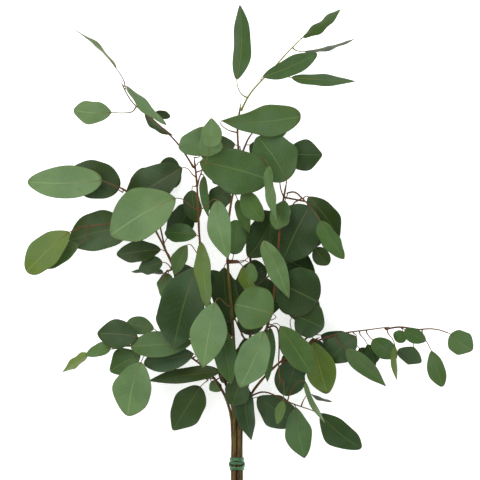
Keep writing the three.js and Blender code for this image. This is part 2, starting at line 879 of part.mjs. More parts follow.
// The twig's own points, but for its first, which is found on the branch that it grows from.
function growTwig(sprig) {
  const points = sprig.twig.map(place);
  for (let standOff = CLEARANCE; standOff < LIFT_LIMIT; standOff += STAND_OFF_STEP) {
    points[0] = footOn(branches[sprig.from], points[1], 0, false, standOff).foot;
    const curve = new THREE.CatmullRomCurve3(points, false, 'centripetal');
    const solid = branchSolid(curve, TWIG_RADIUS, TWIG_TIP_RADIUS, SIDES_OF_TWIG, TWIG_RING_SPACING);
    if (isClear(solid, () => false)) {
      branches[sprig.name] = { curve, startRadius: TWIG_RADIUS, endRadius: TWIG_TIP_RADIUS };
      lay(solid, 'branch', sprig.name);
      return solid;
    }
  }
  throw new Error(`no room for the twig of ${sprig.name}`);
}

const sprigTwigs = new Map(SPRIGS.map((sprig) => [sprig.name, growTwig(sprig)]));

for (const sprig of SPRIGS) {
  let solid = sprigTwigs.get(sprig.name);
  for (const row of sprig.leaves) {
    solid = solid.add(growLeaf(row, sprig.name, sprig.name, true).solid);
  }
  const foot = branches[sprig.name].curve.getPoint(0);
  bunch.add(meshOf(sprig.name, solid, foot, TONES[sprig.tone], ROUGHNESS.leaf));
}

for (const [name, stem, ...rest] of LEAVES) {
  const tone = rest.pop();
  const { solid, foot } = growLeaf(rest, stem, name, false);
  bunch.add(meshOf(name, solid, foot, TONES[tone], ROUGHNESS.leaf));
}

// ---------------------------------------------------------------- tie

// A soft green band wound round the bundle: level turns, joined by turns that cross them.
const FLAT_SHARE = 0.7; // of the band's width, between its chamfered edges
const MERGE_DISTANCE = 1e-3;

function bandTurn(along, slant) {
  const outer = bundleRadius + TIE_THICKNESS;
  const half = TIE_TURN_WIDTH / 2;
  const profile = [
    new THREE.Vector2(bundleRadius, -half),
    new THREE.Vector2(outer, -half * FLAT_SHARE),
    new THREE.Vector2(outer, half * FLAT_SHARE),
    new THREE.Vector2(bundleRadius, half),
    new THREE.Vector2(bundleRadius, -half),
  ];
  const turn = new THREE.LatheGeometry(profile, SIDES_OF_TIE);
  turn.applyMatrix4(new THREE.Matrix4().makeShear(0, 0, 0, 0, 0, slant));
  turn.translate(0, along, 0);
  return turn;
}

function bandSolid(geometry) {
  geometry.deleteAttribute('normal');
  geometry.deleteAttribute('uv');
  const merged = mergeVertices(geometry, MERGE_DISTANCE);
  const mesh = new wasm.Mesh({
    numProp: 3,
    vertProperties: new Float32Array(merged.attributes.position.array),
    triVerts: new Uint32Array(merged.index.array),
  });
  return new wasm.Manifold(mesh);
}

const slant = (TIE_LENGTH - TIE_TURN_WIDTH) / 2 / tieHeight;
const levelTurn = (TIE_LENGTH - TIE_TURN_WIDTH) / 2;
const turns = [bandTurn(levelTurn, 0), bandTurn(-levelTurn, 0), bandTurn(0, slant), bandTurn(0, -slant)];
const band = turns.map(bandSolid).reduce((whole, turn) => whole.add(turn));
const tieMesh = meshOf('tie_band', band, new THREE.Vector3(), TIE_COLOUR, ROUGHNESS.tie);
tieMesh.position.set(BUNDLE_X, tieMiddle, cutHeight + bundleSlope * tieMiddle);
tieMesh.rotation.x = Math.atan(bundleSlope);
bunch.add(tieMesh);

// ---------------------------------------------------------------- the origin

bunch.updateMatrixWorld(true);
const box = new THREE.Box3().setFromObject(bunch, true);
const middlePoint = box.getCenter(new THREE.Vector3());
bunch.position.set(-middlePoint.x, -middlePoint.y, -box.min.z);

export default bunch;
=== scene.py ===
# %% [markdown]
# # A tied bunch of eucalyptus foliage
# The real thing is seven woody stems, cut at the bottom and held by a soft green band. Above the band
# they fan out into thin twigs, and each twig or stem carries broad leaves on fine stalks. The CAD model
# gives every stem, twig and leaf its place and size as a plain solid. This lesson reads those places
# back, and makes each piece again as it really looks, in the same place.

# %% Load the frame
import heapq
import json
import math
import random
from collections import Counter

import bmesh
import bpy
import numpy as np
from mathutils import Matrix, Vector, noise
from mathutils.bvhtree import BVHTree

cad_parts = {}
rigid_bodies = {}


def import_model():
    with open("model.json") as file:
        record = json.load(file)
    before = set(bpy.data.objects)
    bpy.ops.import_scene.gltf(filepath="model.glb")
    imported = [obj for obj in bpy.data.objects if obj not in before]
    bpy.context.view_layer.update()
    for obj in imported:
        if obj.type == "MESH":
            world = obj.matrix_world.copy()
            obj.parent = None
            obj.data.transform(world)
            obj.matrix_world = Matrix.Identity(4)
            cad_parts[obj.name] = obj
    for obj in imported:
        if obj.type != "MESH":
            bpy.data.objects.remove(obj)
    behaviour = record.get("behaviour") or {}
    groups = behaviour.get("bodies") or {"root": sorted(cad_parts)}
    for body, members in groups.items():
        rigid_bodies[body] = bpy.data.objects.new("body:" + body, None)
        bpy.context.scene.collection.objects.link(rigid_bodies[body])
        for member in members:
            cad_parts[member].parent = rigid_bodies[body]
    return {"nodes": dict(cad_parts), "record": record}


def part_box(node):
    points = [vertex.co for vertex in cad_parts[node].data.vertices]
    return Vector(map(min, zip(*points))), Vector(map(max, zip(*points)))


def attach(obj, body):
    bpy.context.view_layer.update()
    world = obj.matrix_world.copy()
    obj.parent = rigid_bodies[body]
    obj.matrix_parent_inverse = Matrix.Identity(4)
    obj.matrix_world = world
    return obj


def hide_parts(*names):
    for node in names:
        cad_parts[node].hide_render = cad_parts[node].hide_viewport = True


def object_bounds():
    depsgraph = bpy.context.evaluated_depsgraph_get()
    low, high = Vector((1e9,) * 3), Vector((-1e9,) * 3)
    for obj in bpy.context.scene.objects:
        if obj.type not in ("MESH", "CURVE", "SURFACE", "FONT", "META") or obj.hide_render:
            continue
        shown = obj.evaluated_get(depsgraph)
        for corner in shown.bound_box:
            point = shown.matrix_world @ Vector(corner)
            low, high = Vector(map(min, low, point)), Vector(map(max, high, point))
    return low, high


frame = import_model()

MM = 0.001
cad_low, cad_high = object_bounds()
slot_of = {row["node"]: row["material_slot"] for row in frame["record"]["subparts"]}
print("CAD box, metres:", [round(v, 4) for v in (*cad_low, *cad_high)])

# %% [markdown]
# ## The camera
# The bunch lies on a table, and a person looks straight down on it with the tips at the top. A long lens
# from far away keeps the leaves that lie high from looking bigger than those that lie low. The camera is
# made first, because its view is worked out from the tie and the cut ends alone.

# %% The camera
PICTURE_SIDE = 0.600  # how much of the table the picture shows
STEMS_OUT_OF_VIEW = 0.050  # the cut ends stay below the picture's lower edge
TIE_LEFT_OF_MIDDLE = 4 * MM
VIEW_DISTANCE = 6.0
SENSOR_WIDTH = 36.0

tie_low, tie_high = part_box("tie_band")
view_x = (tie_low.x + tie_high.x) / 2 + TIE_LEFT_OF_MIDDLE
view_y = cad_low.y + STEMS_OUT_OF_VIEW + PICTURE_SIDE / 2
view_z = (cad_low.z + cad_high.z) / 2

bpy.ops.object.camera_add(location=(view_x, view_y, view_z + VIEW_DISTANCE), rotation=(0, 0, 0))
camera = bpy.context.object
camera.name = "camera_from_above"
camera.data.sensor_width = SENSOR_WIDTH
camera.data.lens = SENSOR_WIDTH * VIEW_DISTANCE / PICTURE_SIDE
bpy.context.scene.camera = camera
print("lens, mm:", round(camera.data.lens))

# %% [markdown]
# ## Reading a leaf back
# In the CAD each blade is a pointed tube of four-sided sections. The tip is one corner with four
# neighbours, and each step away from it reaches the next section: five across the blade, one where the
# blade starts, and up to three along the stalk. Walking from the tip is enough to find them all, even
# where many leaves are joined to one twig.

# %% Walk from each leaf's tip
MERGE_DISTANCE = 2e-6
BLADE_STATIONS = [0.86, 0.68, 0.48, 0.28, 0.1]  # from the base 0 to the tip 1, in walking order
BASE_RING = len(BLADE_STATIONS) + 1
LONGEST_CHAIN = BASE_RING + 3


def merged(solid):
    """A copy of a CAD solid's mesh, with its loose triangles joined at their corners."""
    mesh = bmesh.new()
    mesh.from_mesh(solid.data)
    bmesh.ops.remove_doubles(mesh, verts=mesh.verts, dist=MERGE_DISTANCE)
    return mesh


def walk_from(tip):
    """The rings of four corners that follow a leaf's tip."""
    rings, seen = [[tip]], {tip}
    while len(rings) <= LONGEST_CHAIN:
        ring = {edge.other_vert(corner) for corner in rings[-1] for edge in corner.link_edges} - seen
        if len(ring) != 4:
            break
        seen |= ring
        rings.append(sorted(ring, key=lambda corner: corner.index))
    return rings


def leaf_chains(mesh):
    """The rings of every leaf in a mesh, the leaf with the leftmost tip first."""
    tips = [corner for corner in mesh.verts if len(corner.link_edges) == 4]
    chains = [rings for rings in map(walk_from, tips) if len(rings) > BASE_RING + 1]
    return sorted(chains, key=lambda rings: rings[0][0].co.x)


# %% [markdown]
# Each chain is then measured. Two corners of a section are the blade's edges, and the other two are the
# upper and lower side of its midrib. The edges stand above the midrib, which tells the upper side from
# the lower one. How the half width grows and shrinks along the blade follows one formula,
# reach * v**a * (1 - v)**b, so a straight-line fit of logarithms gives back reach, a and b.

# %% Measure a leaf


def middle(ring):
    """The middle of a ring of corners."""
    return sum((corner.co for corner in ring), Vector()) / len(ring)


def split_section(ring):
    """(edge, edge), (mid, mid) of a blade section."""
    places = [corner.co for corner in ring]
    pairs = [(i, j) for i in range(4) for j in range(i + 1, 4)]
    far = max(pairs, key=lambda pair: (places[pair[0]] - places[pair[1]]).length)
    edges = [places[i] for i in far]
    mids = [places[i] for i in range(4) if i not in far]
    return edges, mids


def measure_leaf(name, rings):
    """A leaf's place, its three directions, and the numbers that its outline and folds follow."""
    tip = rings[0][0].co.copy()
    base = middle(rings[BASE_RING])
    sections = [split_section(ring) for ring in rings[1:BASE_RING]]
    rise = Vector()
    halves = []
    for edges, mids in sections:
        rise += (edges[0] + edges[1]) / 2 - (mids[0] + mids[1]) / 2
        halves.append((edges[0] - edges[1]).length / 2)
    up = rise.normalized()
    widest = sections[halves.index(max(halves))][0]
    side = (widest[1] - widest[0]).normalized()
    along = up.cross(side)
    if along.dot(tip - base) < 0:
        side, along = -side, -along
    logs = np.log(np.array(halves))
    v = np.array(BLADE_STATIONS)
    table = np.column_stack([np.ones(len(v)), np.log(v), np.log(1 - v)])
    reach, a, b = np.linalg.lstsq(table, logs, rcond=None)[0]
    length = (tip - base).dot(along)
    return {
        "name": name,
        "base": np.array(base),
        "side": np.array(side),
        "along": np.array(along),
        "up": np.array(up),
        "length": length,
        "droop": -(tip - base).dot(up) / length,
        "fold": rise.length / sum(halves),
        "reach": math.exp(reach),
        "a": a,
        "b": b,
        "stalk": [middle(ring) for ring in rings[: BASE_RING - 1 : -1]],
    }


# %% [markdown]
# ## Reading a branch back
# A CAD stem or twig is a tube of rings. Once the leaves' corners are taken away, the distance of each
# remaining corner from one end, measured along the tube's edges, sorts the corners into rings. The middle
# of each ring is a point of the branch's middle line. A stem's rings are far apart and a twig's are near.
# The end is the corner farthest from a first one, which is always the one with the greatest x + y + z.

# %% Find a branch's middle line
RING_GAPS = {"stem": 6 * MM, "sprig": 2.2 * MM}


def distances_from(start, corners):
    """How far each corner is from the start, along the edges between the given corners."""
    far = {start: 0.0}
    queue = [(0.0, start.index, start)]
    while queue:
        distance, _, corner = heapq.heappop(queue)
        if distance > far[corner]:
            continue
        for edge in corner.link_edges:
            other = edge.other_vert(corner)
            reached = distance + edge.calc_length()
            if other in corners and reached < far.get(other, math.inf):
                far[other] = reached
                heapq.heappush(queue, (reached, other.index, other))
    return far


def middle_line(mesh, chains, gap):
    """The points along a branch, from its thick end, and the radius at each."""
    leafy = {corner for rings in chains for ring in rings for corner in ring}
    corners = [corner for corner in mesh.verts if corner not in leafy]
    kept = set(corners)
    start = max(corners, key=lambda corner: sum(corner.co))
    first = distances_from(start, kept)
    end = max(first, key=first.get)
    far = distances_from(end, kept)
    rings = []
    last = -math.inf
    for corner in sorted(far, key=far.get):
        if far[corner] - last > gap:
            rings.append([])
        rings[-1].append(corner)
        last = far[corner]
    points = [middle(ring) for ring in rings]
    radii = [
        sum((corner.co - point).length for corner in ring) / len(ring)
        for ring, point in zip(rings, points)
    ]
    if radii[0] < radii[-1]:
        points.reverse()
        radii.reverse()
    triples = zip(points, points[1:], points[2:])
    smooth = [here / 2 + (before + after) / 4 for before, here, after in triples]
    return [points[0], *smooth, points[-1]], radii


# %% Read every node
leaves = {}  # node: its leaves, from left to right
branches = {}  # node: its middle line and radii

for node_name, solid in frame["nodes"].items():
    if node_name == "tie_band":
        continue
    mesh = merged(solid)
    mesh.verts.index_update()
    chains = leaf_chains(mesh)
    leaves[node_name] = [
        measure_leaf(node_name if len(chains) == 1 else f"{node_name}_leaf_{number}", rings)
        for number, rings in enumerate(chains, 1)
    ]
    kind = node_name.split("_")[0]
    if kind in RING_GAPS:
        branches[node_name] = middle_line(mesh, chains, RING_GAPS[kind])
    mesh.free()
stem_names = sorted(name for name in branches if name.startswith("stem"))
sprig_names = [name for name in branches if name.startswith("sprig")]
print("leaves:", sum(len(found) for found in leaves.values()), "branches:", len(branches))

# %% [markdown]
# ## Small helpers
# An operator works on whatever is selected, so a piece is always selected alone first. A finished piece
# takes its materials, rides on the bunch's one body, and hides the CAD node that it stands for.

# %% Helpers for pieces


def choose(piece):
    """Selects one object and nothing else."""
    bpy.ops.object.select_all(action="DESELECT")
    piece.select_set(True)
    bpy.context.view_layer.objects.active = piece


def add_modifier(piece, kind, **settings):
    """Adds a modifier and applies it at once."""
    choose(piece)
    modifier = piece.modifiers.new(kind.title(), kind)
    for key, value in settings.items():
        setattr(modifier, key, value)
    bpy.ops.object.modifier_apply(modifier=modifier.name)


def pick(mesh, kind, chosen):
    """Goes into edit mode with just those corners, edges or faces selected that pass a test."""
    bpy.ops.object.mode_set(mode="EDIT")
    bpy.ops.mesh.select_mode(type=kind)
    bpy.ops.mesh.select_all(action="DESELECT")
    bpy.ops.object.mode_set(mode="OBJECT")
    for part in {"VERT": mesh.vertices, "EDGE": mesh.edges, "FACE": mesh.polygons}[kind]:
        part.select = chosen(part)
    bpy.ops.object.mode_set(mode="EDIT")


def corners_of(mesh):
    places = np.empty(len(mesh.vertices) * 3)
    mesh.vertices.foreach_get("co", places)
    return places.reshape(-1, 3)


def move_corners(mesh, places):
    mesh.vertices.foreach_set("co", np.asarray(places, dtype=np.float32).ravel())
    mesh.update()


def copy_of(pattern, name, places):
    """A copy of a pattern with a mesh of its own, whose corners are moved to the given places."""
    mesh = pattern.data.copy()
    mesh.name = name
    move_corners(mesh, places)
    piece = bpy.data.objects.new(name, mesh)
    bpy.context.scene.collection.objects.link(piece)
    return piece


def finish_piece(piece, node_name, slot, *materials):
    piece.data.materials.clear()
    for material in materials:
        piece.data.materials.append(material)
    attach(piece, "root")
    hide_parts(node_name)


# %% [markdown]
# ## The pattern blade
# All leaves of a bunch have the same build, so the blade is made once. It starts as a disc, not as a
# leaf: a circle filled with a square grid has an even spread of faces and no pole, and its rim becomes
# the leaf's margin when each copy is drawn out to its own length and width. Solidify gives the disc its
# two skins, and the rim is then squeezed, because a real margin is thinner than the middle.

# %% Make the pattern blade
RIM_CORNERS = 64
BLADE_THICKNESS = 0.46 * MM
MARGIN_THINNING = 0.45
RIM_RADIUS = 0.99  # corners of the disc beyond this are on its rim


def make_pattern_blade():
    bpy.ops.object.select_all(action="DESELECT")
    bpy.ops.mesh.primitive_circle_add(vertices=RIM_CORNERS, radius=1)
    blade = bpy.context.object
    blade.name = "pattern_blade"
    bpy.ops.object.mode_set(mode="EDIT")
    bpy.ops.mesh.select_all(action="SELECT")
    bpy.ops.mesh.fill_grid(span=RIM_CORNERS // 4)
    bpy.ops.object.mode_set(mode="OBJECT")
    turn_grid_square(blade.data)
    add_modifier(blade, "SOLIDIFY", thickness=BLADE_THICKNESS, offset=0)
    thin_the_rim(blade)
    write_blade_map(blade.data)
    return blade


def turn_grid_square(mesh):
    """Turns the disc until the grid's columns run along Y, from the stalk to the tip."""
    links = Counter(index for edge in mesh.edges for index in edge.vertices)
    corner = mesh.vertices[min(index for index, count in links.items() if count == 2)].co
    angle = math.atan2(corner.y, corner.x)
    mesh.transform(Matrix.Rotation(math.pi / 4 - angle, 4, "Z"))
    if mesh.polygons[0].normal.z < 0:
        mesh.flip_normals()


def thin_the_rim(blade):
    choose(blade)
    pick(blade.data, "VERT", lambda corner: corner.co.xy.length > RIM_RADIUS)
    bpy.ops.transform.resize(value=(1, 1, MARGIN_THINNING), center_override=(0, 0, 0))
    bpy.ops.object.mode_set(mode="OBJECT")


def write_blade_map(mesh):
    """The disc's own X and Y as a UV map, and a mark on the faces of the underside."""
    blade_map = mesh.uv_layers.new(name="blade")
    for loop in mesh.loops:
        place = mesh.vertices[loop.vertex_index].co
        blade_map.data[loop.index].uv = (place.x / 2 + 0.5, place.y / 2 + 0.5)
    under = mesh.attributes.new("under", "FLOAT", "FACE")
    for face in mesh.polygons:
        under.data[face.index].value = 1.0 if face.normal.z < -0.5 else 0.0
        face.use_smooth = True


pattern_blade = make_pattern_blade()
print("pattern blade:", len(pattern_blade.data.polygons), "faces")

# %% [markdown]
# ## Bending the blades
# A copy of the disc is drawn out along the leaf that the CAD measured. Real leaves are never flat: the
# halves rise from the midrib in a soft trough, the margin waves, and the whole blade bows a little
# sideways. How much a leaf may play depends on its neighbours, so it starts with the most play and gives
# some up until it touches none of them.

# %% Shape one blade
TROUGH_ROUNDING = 0.18
BULGE_OFFSET = 0.31  # how far the two margins' bulges are out of step
WAVE_OFFSET = 0.2  # how far the two margins' waves are out of step
TIP_NARROWING = 3.5
TINY = 1e-4
HABITS = {  # the least and the most of each, as shares of a leaf's own size, or as turns
    "wave": (0.05, 0.12),
    "waves": (1.3, 2.6),
    "phase": (0, 1),
    "sickle": (-0.05, 0.05),
    "bow": (-0.02, 0.045),
    "twist": (-0.16, 0.16),
    "skew": (-0.08, 0.08),
    "uneven": (0.02, 0.07),
    "bulges": (1.1, 2.2),
    "point": (0.02, 0.11),
    "light": (0, 1),
    "warm": (0, 1),
}


def habits(name):
    """A leaf's own small ways, drawn from its name so that each run gives the same leaf."""
    draw = random.Random(name)
    ways = {way: draw.uniform(*reach) for way, reach in HABITS.items()}
    ways["wear"] = draw.random() ** 3  # few leaves are badly worn
    return ways


def blade_places(leaf, disc, play):
    """Where the disc's corners lie on this leaf. With no play the blade keeps to the CAD's shape."""
    ways = leaf["habits"]
    x, y, lift = disc.T
    v = np.clip((1 + y) / 2, TINY, 1 - TINY)
    across = np.clip(x / (2 * np.sqrt(v * (1 - v))), -1, 1)
    half = leaf["reach"] * v ** leaf["a"] * (1 - v) ** leaf["b"]
    bulge = np.sin(2 * math.pi * (ways["bulges"] * v + ways["phase"] + BULGE_OFFSET * np.sign(x)))
    half = half * (1 + play * (ways["skew"] * across + ways["uneven"] * bulge * np.abs(across)))
    half = half * (1 - TIP_NARROWING * play * ways["point"] * v**7)
    length = leaf["length"]
    run = length * (v + play * ways["point"] * v**12)
    side = across * half + play * ways["sickle"] * length * 4 * v * (1 - v)
    trough = across**2 / (np.abs(across) + TROUGH_ROUNDING) * (1 + TROUGH_ROUNDING)
    turn = 2 * math.pi * (ways["waves"] * v + ways["phase"] + WAVE_OFFSET * np.sign(across))
    rise = leaf["fold"] * half * trough
    rise = rise + play * ways["wave"] * half * across**2 * np.sin(turn)
    rise = rise + play * ways["twist"] * across * half * v
    rise = rise + play * ways["bow"] * length * np.sin(math.pi * v)
    rise = rise - leaf["droop"] * length * v**2 + lift
    level = leaf["base"] + np.outer(side, leaf["side"]) + np.outer(run, leaf["along"])
    return level + np.outer(rise, leaf["up"])


# %% [markdown]
# ## Tubes along a line
# Stems, twigs and leaf stalks are all tubes that follow a line and change their thickness on the way. One
# pattern tube is made with a round section and many rings, and each copy is carried along its own line.
# The rings are turned from one to the next by the smallest turn, so that the tube never twists.

# %% Make the pattern tubes
CAP_INSET = 0.18


def is_cap(face):
    return abs(face.normal.z) > 0.9


def make_pattern_tube(name, sides, rings):
    """A tube of radius 1 from z = 0 to z = 1, with its run along the line as a UV map."""
    bpy.ops.object.select_all(action="DESELECT")
    bpy.ops.mesh.primitive_cylinder_add(vertices=sides, radius=1, depth=1, location=(0, 0, 0.5))
    tube = bpy.context.object
    tube.name = name
    bpy.ops.object.transform_apply(location=True)
    mesh = tube.data

    def runs_lengthwise(edge):
        low, high = (mesh.vertices[index].co.z for index in edge.vertices)
        return low != high

    pick(mesh, "EDGE", runs_lengthwise)
    bpy.ops.mesh.subdivide(number_cuts=rings)
    pick(mesh, "FACE", is_cap)
    bpy.ops.mesh.inset(thickness=CAP_INSET, use_individual=True)
    bpy.ops.mesh.poke()
    bpy.ops.mesh.select_mode(type="VERT")
    bpy.ops.object.mode_set(mode="OBJECT")
    run = mesh.uv_layers.new(name="run")
    for face in mesh.polygons:
        face.use_smooth = not is_cap(face)
        face.material_index = int(is_cap(face))
        for loop in face.loop_indices:
            place = mesh.vertices[mesh.loops[loop].vertex_index].co
            around = math.atan2(place.y, place.x) / (2 * math.pi) + 0.5
            run.data[loop].uv = (around, place.z)
    return tube


pattern_stem = make_pattern_tube("pattern_stem", sides=18, rings=90)
pattern_twig = make_pattern_tube("pattern_twig", sides=10, rings=44)
pattern_stalk = make_pattern_tube("pattern_stalk", sides=8, rings=26)
for pattern in (pattern_stem, pattern_twig, pattern_stalk):
    print(pattern.name, len(pattern.data.polygons), "faces")

# %% Carry a tube along a line
STEPS_BETWEEN = 10


def curve_through(points):
    """A smooth line through the points, as many short steps."""
    points = [np.array(point) for point in points]
    ends = [2 * points[0] - points[1], *points, 2 * points[-1] - points[-2]]
    line = []
    for p0, p1, p2, p3 in zip(ends, ends[1:], ends[2:], ends[3:]):
        for step in range(STEPS_BETWEEN):
            t = step / STEPS_BETWEEN
            bend = (2 * p0 - 5 * p1 + 4 * p2 - p3) * t**2 + (3 * p1 - p0 - 3 * p2 + p3) * t**3
            line.append((2 * p1 + (p2 - p0) * t + bend) / 2)
    line.append(points[-1])
    return np.array(line)


def frames_along(line):
    """Two directions square to the line at each step, which never twist about it."""
    tangents = np.gradient(line, axis=0)
    tangents /= np.linalg.norm(tangents, axis=1)[:, None]
    spare = np.array([0.0, 0.0, 1.0]) if abs(tangents[0][2]) < 0.9 else np.array([1.0, 0.0, 0.0])
    first = np.cross(tangents[0], spare)
    normals = [first / np.linalg.norm(first)]
    for tangent in tangents[1:]:
        normal = normals[-1] - tangent * normals[-1].dot(tangent)
        normals.append(normal / np.linalg.norm(normal))
    normals = np.array(normals)
    return normals, np.cross(tangents, normals)


def carry_along(tube, line, radius_at):
    """Places for a pattern tube's corners along the line. radius_at gives the radius at shares of it."""
    x, y, z = tube.T
    steps = np.linalg.norm(np.diff(line, axis=0), axis=1)
    share = np.concatenate([[0], np.cumsum(steps)]) / steps.sum()
    rows = (line, *frames_along(line))
    centre, normal, binormal = (
        np.column_stack([np.interp(z, share, row[:, k]) for k in range(3)]) for row in rows
    )
    radius = radius_at(z)
    return centre + normal * (x * radius)[:, None] + binormal * (y * radius)[:, None]


# %% [markdown]
# ## Shader helpers
# Every finish is built from nodes. One helper adds a node, sets it and fills its inputs in order, with
# links or with plain values, which keeps the recipes below short enough to read.

# %% Helpers for materials


def srgb(red, green, blue):
    """A colour given as 0 to 255, as the linear values that shaders use."""

    def linear(value):
        value /= 255
        return value / 12.92 if value <= 0.04045 else ((value + 0.055) / 1.055) ** 2.4

    return (linear(red), linear(green), linear(blue), 1.0)


def node(tree, kind, *values, **settings):
    """A new node, with its settings and its first inputs."""
    made = tree.nodes.new("ShaderNode" + kind)
    for key, value in settings.items():
        setattr(made, key, value)
    for socket, value in zip(made.inputs, values):
        if isinstance(value, bpy.types.NodeSocket):
            tree.links.new(value, socket)
        elif value is not None:
            socket.default_value = value
    return made


def maths(tree, operation, *values):
    return node(tree, "Math", *values, operation=operation).outputs[0]


def fade(tree, value, start, end, low=0.0, high=1.0):
    """Low where the value is under start, high where it is over end, and a soft change between."""
    made = node(tree, "MapRange", value, start, end, low, high, interpolation_type="SMOOTHSTEP")
    return made.outputs[0]


def mix(tree, factor, first, second):
    """The first colour where the factor is 0, the second where it is 1."""
    return node(tree, "Mix", factor, *[None] * 5, first, second, data_type="RGBA").outputs[2]


def noise_at(tree, vector, scale, detail=3.0, roughness=0.5):
    return node(tree, "TexNoise", vector, None, scale, detail, roughness).outputs[0]


def object_places(tree, stretch=(1, 1, 1)):
    places = node(tree, "TexCoord").outputs["Object"]
    return node(tree, "Mapping", places, None, None, stretch).outputs[0]


def new_group(name, *inputs):
    """An empty node group whose inputs are vectors, and its inputs as sockets."""
    group = bpy.data.node_groups.new(name, "ShaderNodeTree")
    for title in inputs:
        group.interface.new_socket(name=title, in_out="INPUT", socket_type="NodeSocketVector")
    return group, group.nodes.new("NodeGroupInput").outputs


def put_out(group, results):
    """Gives a group an output, a single value at each place, for every result."""
    end = group.nodes.new("NodeGroupOutput")
    for title, value in results.items():
        group.interface.new_socket(name=title, in_out="OUTPUT", socket_type="NodeSocketFloat")
        group.links.new(value, end.inputs[title])
    return group


def new_material(name):
    """A material with one Principled shader, and its tree."""
    material = bpy.data.materials.new(name)
    material.use_nodes = True
    return material, material.node_tree, material.node_tree.nodes["Principled BSDF"]


def finish_with(tree, shader, colour, rough, height, strength, depth):
    """Links a finish to its shader: the colour, the roughness and the fine relief."""
    tree.links.new(colour, shader.inputs["Base Color"])
    tree.links.new(rough, shader.inputs["Roughness"])
    bump = node(tree, "Bump", strength, depth)
    tree.links.new(height, bump.inputs["Height"])
    tree.links.new(bump.outputs[0], shader.inputs["Normal"])


# %% [markdown]
# ## What shows on a leaf
# A pale midrib runs up the blade. Side veins leave it at a slant and bend towards the tip, and near the
# margin they meet a thin vein that follows the edge. Between them lies a fine net. All of it follows the
# leaf, so it is drawn on the blade's own map, where the margin is a circle of radius 1: that makes one
# recipe fit every leaf, broad or narrow. The group puts out masks, and each material picks its colours.

# %% The group that draws veins
VEINS_PER_SIDE = 11.0
VEIN_SLANT = 0.5
SIDES_OUT_OF_STEP = 0.43
EDGE_VEIN_RADIUS = 0.9
NET_CELLS = 26.0
VEIN_BEND = 0.85
VEIN_WANDER = 0.7
VEIN_WIDTHS = (0.085, 0.03)  # at the midrib and at the margin, as shares of the gap between veins
EDGE_VEIN_STRENGTH = 0.6


def make_vein_group():
    group, given = new_group("leaf_veins", "Blade")

    def do(operation, *values):
        return maths(group, operation, *values)

    def inverse(value):
        return do("SUBTRACT", 1.0, value)

    blade = given["Blade"]
    axes = node(group, "SeparateXYZ", blade)
    x = do("MULTIPLY_ADD", axes.outputs[0], 2.0, -1.0)
    y = do("MULTIPLY_ADD", axes.outputs[1], 2.0, -1.0)
    radius = do("SQRT", do("ADD", do("MULTIPLY", x, x), do("MULTIPLY", y, y)))

    # Across is 0 on the midrib and 1 on the margin, however wide the blade is there.
    off = do("ABSOLUTE", x)
    chord = do("SQRT", do("MAXIMUM", inverse(do("MULTIPLY", y, y)), 0.02))
    across = do("DIVIDE", off, chord)

    # A side vein is where the phase passes a half. The two sides of the blade are out of step.
    climb = do("MULTIPLY", do("POWER", across, VEIN_BEND), VEIN_SLANT)
    count = do("MULTIPLY", do("SUBTRACT", y, climb), VEINS_PER_SIDE / 2)
    out_of_step = do("MULTIPLY", do("GREATER_THAN", x, 0.0), SIDES_OUT_OF_STEP)
    wander = do("SUBTRACT", noise_at(group, blade, 7.0, 2.0), 0.5)
    phase = do("MULTIPLY_ADD", wander, VEIN_WANDER, do("ADD", count, out_of_step))
    gap = do("ABSOLUTE", do("SUBTRACT", do("FRACT", phase), 0.5))
    width = fade(group, across, 0.0, 1.0, *VEIN_WIDTHS)
    line = inverse(fade(group, do("DIVIDE", gap, width), 0.25, 1.0))
    line = do("MULTIPLY", line, fade(group, across, 0.75, 0.98, 1.0, 0.0))

    from_edge_vein = do("ABSOLUTE", do("SUBTRACT", radius, EDGE_VEIN_RADIUS))
    edge_vein = inverse(fade(group, from_edge_vein, 0.004, 0.016))
    veins = do("MAXIMUM", line, do("MULTIPLY", edge_vein, EDGE_VEIN_STRENGTH))
    cells = node(group, "TexVoronoi", blade, None, NET_CELLS, feature="DISTANCE_TO_EDGE")
    net = inverse(fade(group, cells.outputs["Distance"], 0.02, 0.12))
    height = do("MULTIPLY", fade(group, gap, 0.0, 0.45), 0.6)
    height = do("MULTIPLY_ADD", net, -0.08, height)
    height = do("MULTIPLY_ADD", veins, -0.25, height)
    results = {
        "Veins": veins,
        "Net": net,
        "Midrib": inverse(fade(group, off, 0.012, 0.04)),
        "Margin": fade(group, radius, 0.965, 0.995),
        "Height": height,
    }
    return put_out(group, results)


vein_group = make_vein_group()
print("veins:", len(vein_group.nodes), "nodes")

# %% [markdown]
# The skin between the veins changes as well. The green comes in soft patches, a waxy bloom has rubbed off
# in places, and old leaves have brown blotches and speckles. These follow the object's own places, so
# their size is the same on a small leaf and a large one.

# %% The group that draws the skin


def make_skin_group():
    group, given = new_group("leaf_skin", "Places")
    places = given["Places"]
    speckles = fade(group, noise_at(group, places, 210.0, 2.0, 0.6), 0.70, 0.76)
    blotches = fade(group, noise_at(group, places, 48.0, 3.0, 0.6), 0.68, 0.76)
    results = {
        "Patches": fade(group, noise_at(group, places, 26.0, 4.0, 0.6), 0.34, 0.66),
        "Bloom": fade(group, noise_at(group, places, 14.0, 3.0, 0.55), 0.40, 0.70, 0.0, 0.32),
        "Spots": maths(group, "MAXIMUM", blotches, maths(group, "MULTIPLY", speckles, 0.6)),
        "Grain": noise_at(group, places, 900.0, 2.0),
    }
    return put_out(group, results)


skin_group = make_skin_group()
print("skin:", len(skin_group.nodes), "nodes")
